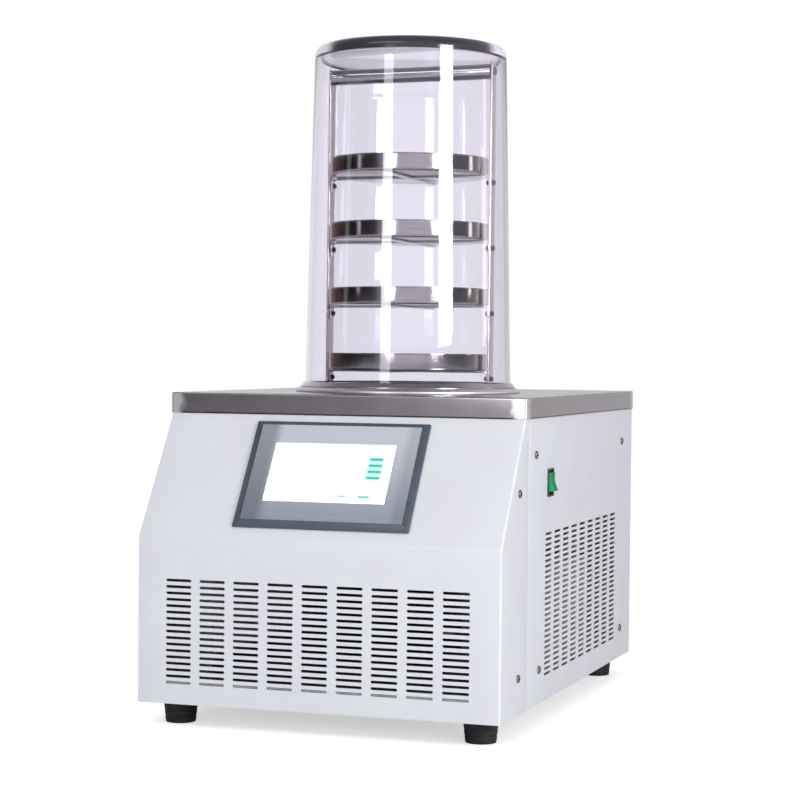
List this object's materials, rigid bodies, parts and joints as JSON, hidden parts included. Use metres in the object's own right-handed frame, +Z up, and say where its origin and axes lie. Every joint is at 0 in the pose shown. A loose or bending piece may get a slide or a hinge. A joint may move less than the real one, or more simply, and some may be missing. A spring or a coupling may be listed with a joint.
{
  "type": "freeze dryer",
  "caption": "Benchtop freeze dryer: a slotted cabinet with a touch screen, a cold trap in its steel worktop, and a clear bell jar over a rack of round trays.",
  "frame": {"origin": "on the bench, under the middle of the overall box", "axes": "+X to the operator's right, +Y to the back, +Z up; the touch screen faces -Y"},
  "size_m": [0.4588, 0.696, 0.8379],
  "materials": {
    "foot_rubber": "matt black moulded rubber",
    "painted_steel": "fine-textured powder coat, satin",
    "zinc_steel": "zinc-plated, dull",
    "brushed_stainless": "brushed along the cabinet's width",
    "screw_steel": "plated screw",
    "bezel_plastic": "moulded, satin",
    "display_glass": "lit touch display",
    "black_plastic": "moulded, satin",
    "green_plastic": "translucent moulded plastic",
    "foam": "closed-cell foam",
    "copper": "drawn copper tube",
    "seal_rubber": "dark elastomer, satin",
    "clear_acrylic": "clear cast acrylic, polished",
    "black_enamel": "stoved black enamel",
    "fin_aluminium": "bare fin stock",
    "fan_plastic": "moulded",
    "polished_stainless": "polished stainless steel"
  },
  "bodies": {
    "cabinet": {"foot_front_left": "foot_rubber", "foot_front_right": "foot_rubber", "foot_rear_left": "foot_rubber", "foot_rear_right": "foot_rubber", "base_pan": "zinc_steel", "front_cover": "painted_steel", "side_panel_right": "painted_steel", "side_panel_left": "painted_steel", "rear_panel": "painted_steel", "frame_post_right": "zinc_steel", "frame_post_left": "zinc_steel", "worktop": "brushed_stainless", "screw_right_1": "screw_steel", "screw_right_2": "screw_steel", "screw_right_3": "screw_steel", "screw_right_4": "screw_steel", "screw_right_5": "screw_steel", "screw_right_6": "screw_steel", "screw_left_1": "screw_steel", "screw_left_2": "screw_steel", "screw_left_3": "screw_steel", "screw_left_4": "screw_steel", "screw_left_5": "screw_steel", "screw_left_6": "screw_steel", "screen_bezel": "bezel_plastic", "screen_display": "display_glass", "switch_housing": "black_plastic", "trap_vessel": "polished_stainless", "trap_insulation": "foam", "trap_coil": "copper", "vacuum_pipe": "polished_stainless", "seal_ring": "polished_stainless", "seal_gasket": "seal_rubber", "bell_jar": "clear_acrylic", "rack_post_right": "polished_stainless", "rack_post_left": "polished_stainless", "rack_handle": "polished_stainless", "tray_support_1": "polished_stainless", "tray_1": "polished_stainless", "tray_support_2": "polished_stainless", "tray_2": "polished_stainless", "tray_support_3": "polished_stainless", "tray_3": "polished_stainless", "tray_support_4": "polished_stainless", "tray_4": "polished_stainless", "drain_pipe": "polished_stainless", "drain_valve": "polished_stainless", "compressor": "black_enamel", "condenser": "fin_aluminium", "fan_shroud": "black_enamel", "fan_motor": "black_enamel", "suction_line": "copper", "discharge_line": "copper", "filter_drier": "copper", "liquid_line": "copper", "control_box": "zinc_steel", "mains_inlet": "black_plastic"},
    "power_rocker": {"switch_rocker": "green_plastic"},
    "fan": {"fan_rotor": "fan_plastic"},
    "drain_lever": {"drain_lever": "green_plastic"}
  },
  "joints": [
    {"name": "power_rocker_tilt", "type": "hinge", "parent": "cabinet", "child": "power_rocker", "pos_m": [0.221, -0.141, 0.29], "axis": [0, 1, 0], "range_deg": [0, 22]},
    {"name": "fan_spin", "type": "hinge", "parent": "cabinet", "child": "fan", "pos_m": [0.13975, 0.024, 0.1058], "axis": [1, 0, 0], "continuous": true},
    {"name": "drain_lever_turn", "type": "hinge", "parent": "cabinet", "child": "drain_lever", "pos_m": [-0.003, 0.325, 0.2205], "axis": [0, 0, 1], "range_deg": [0, 90]}
  ]
}
